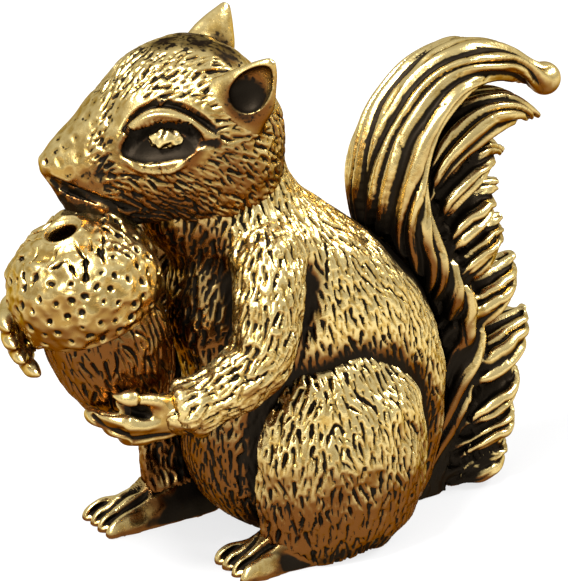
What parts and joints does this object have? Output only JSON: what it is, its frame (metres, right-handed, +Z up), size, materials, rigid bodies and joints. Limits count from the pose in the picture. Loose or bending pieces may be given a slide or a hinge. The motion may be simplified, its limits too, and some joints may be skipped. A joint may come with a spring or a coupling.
{
  "type": "animal figurine",
  "caption": "Cast brass squirrel sitting up with an acorn in its paws, its tail raised behind it, and a round upright hole in the acorn's stem for an incense stick.",
  "frame": {"origin": "on the surface it stands on, in the torso's flat ground face, on the middle plane of the body", "axes": "+Z up, the squirrel faces -Y, its left side is at +X"},
  "size_m": [0.0208, 0.0473, 0.0399],
  "materials": {
    "fur_brass": "polished on the hairs, blackened in the cuts between them",
    "ear_brass": "polished rims, blackened hollows",
    "eye_brass": "bright and rough in a blackened socket",
    "paw_brass": "polished, blackened between toes and fingers",
    "tail_brass": "polished ridges, brown grooves",
    "cap_brass": "polished, with blackened dimples",
    "nut_brass": "browned, with dark upright grooves"
  },
  "bodies": {
    "root": {"torso": "fur_brass", "head": "fur_brass", "left_haunch": "fur_brass", "right_haunch": "fur_brass", "left_arm": "fur_brass", "right_arm": "fur_brass", "left_ear": "ear_brass", "right_ear": "ear_brass", "left_eye": "eye_brass", "right_eye": "eye_brass", "left_paw": "paw_brass", "right_paw": "paw_brass", "left_foot": "paw_brass", "right_foot": "paw_brass", "tail": "tail_brass", "acorn_cap": "cap_brass", "acorn_nut": "nut_brass"}
  },
  "joints": []
}
